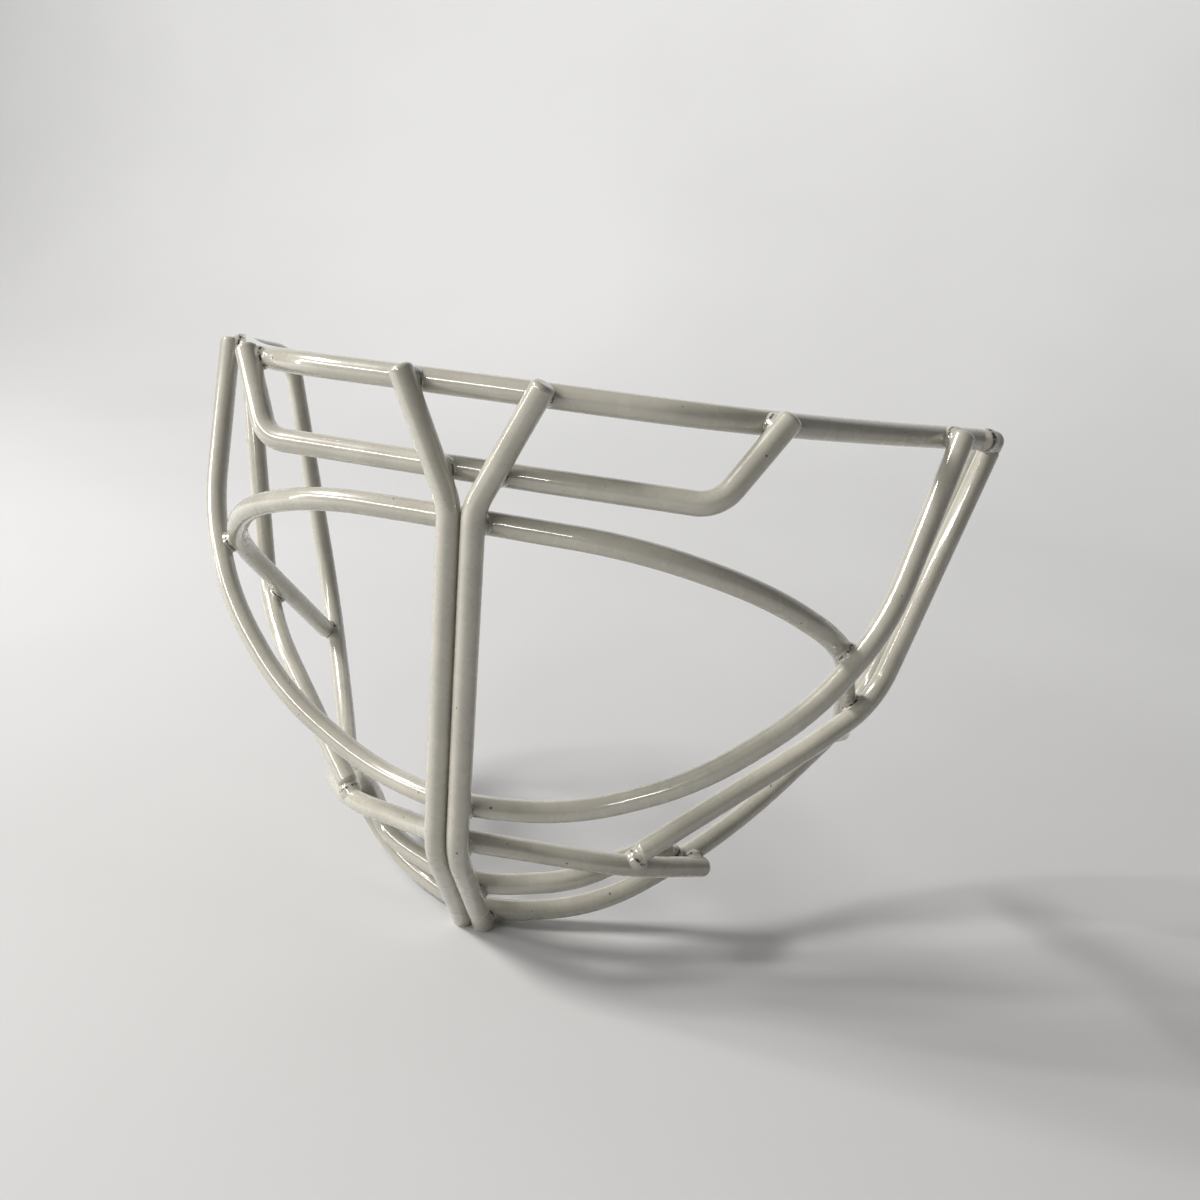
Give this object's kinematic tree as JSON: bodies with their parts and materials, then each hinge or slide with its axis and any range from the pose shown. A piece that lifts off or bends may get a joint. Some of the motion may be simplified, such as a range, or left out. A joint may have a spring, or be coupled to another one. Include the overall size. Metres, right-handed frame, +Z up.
{
  "type": "goalie mask face cage",
  "caption": "Cat-eye face cage for an ice hockey goalie mask: round steel wires, bent, welded together and painted white.",
  "frame": {"origin": "under the middle of the cage's box, level with its lowest point, on its mirror plane", "axes": "+Z up as worn, the front of the cage faces -Y, X from side to side with the mirror plane at x = 0"},
  "size_m": [0.2104, 0.1076, 0.1413],
  "materials": {
    "painted_wire": "gloss",
    "painted_weld": "gloss"
  },
  "bodies": {
    "root": {"brow_bar": "painted_wire", "centre_bar_left": "painted_wire", "centre_bar_right": "painted_wire", "chin_bar": "painted_wire", "inner_chin_rod": "painted_wire", "lower_eye_bar": "painted_wire", "perimeter_rod": "painted_wire", "side_rod_left": "painted_wire", "side_rod_right": "painted_wire", "top_bar": "painted_wire", "upper_eye_bar": "painted_wire", "weld_brow_bar_centre_bar_left": "painted_weld", "weld_brow_bar_centre_bar_right": "painted_weld", "weld_brow_bar_end_left": "painted_weld", "weld_brow_bar_end_right": "painted_weld", "weld_chin_bar_centre_bar_left": "painted_weld", "weld_chin_bar_centre_bar_right": "painted_weld", "weld_chin_bar_perimeter_left": "painted_weld", "weld_chin_bar_perimeter_right": "painted_weld", "weld_eye_bar_tail_end_left": "painted_weld", "weld_eye_bar_tail_end_right": "painted_weld", "weld_eye_bar_tail_side_rod_left": "painted_weld", "weld_eye_bar_tail_side_rod_right": "painted_weld", "weld_eye_corner_left": "painted_weld", "weld_eye_corner_right": "painted_weld", "weld_inner_chin_rod_centre_bar_left": "painted_weld", "weld_inner_chin_rod_centre_bar_right": "painted_weld", "weld_inner_chin_rod_end_left": "painted_weld", "weld_inner_chin_rod_end_right": "painted_weld", "weld_lower_eye_bar_centre_bar_left": "painted_weld", "weld_lower_eye_bar_centre_bar_right": "painted_weld", "weld_lower_eye_bar_end_left": "painted_weld", "weld_lower_eye_bar_end_right": "painted_weld", "weld_perimeter_centre_bar_left": "painted_weld", "weld_perimeter_centre_bar_right": "painted_weld", "weld_side_rod_chin_bar_left": "painted_weld", "weld_side_rod_chin_bar_right": "painted_weld", "weld_side_rod_top_left": "painted_weld", "weld_side_rod_top_right": "painted_weld", "weld_top_bar_centre_bar_left": "painted_weld", "weld_top_bar_centre_bar_right": "painted_weld", "weld_top_bar_end_left": "painted_weld", "weld_top_bar_end_right": "painted_weld", "weld_upper_eye_bar_centre_bar_left": "painted_weld", "weld_upper_eye_bar_centre_bar_right": "painted_weld"}
  },
  "joints": []
}
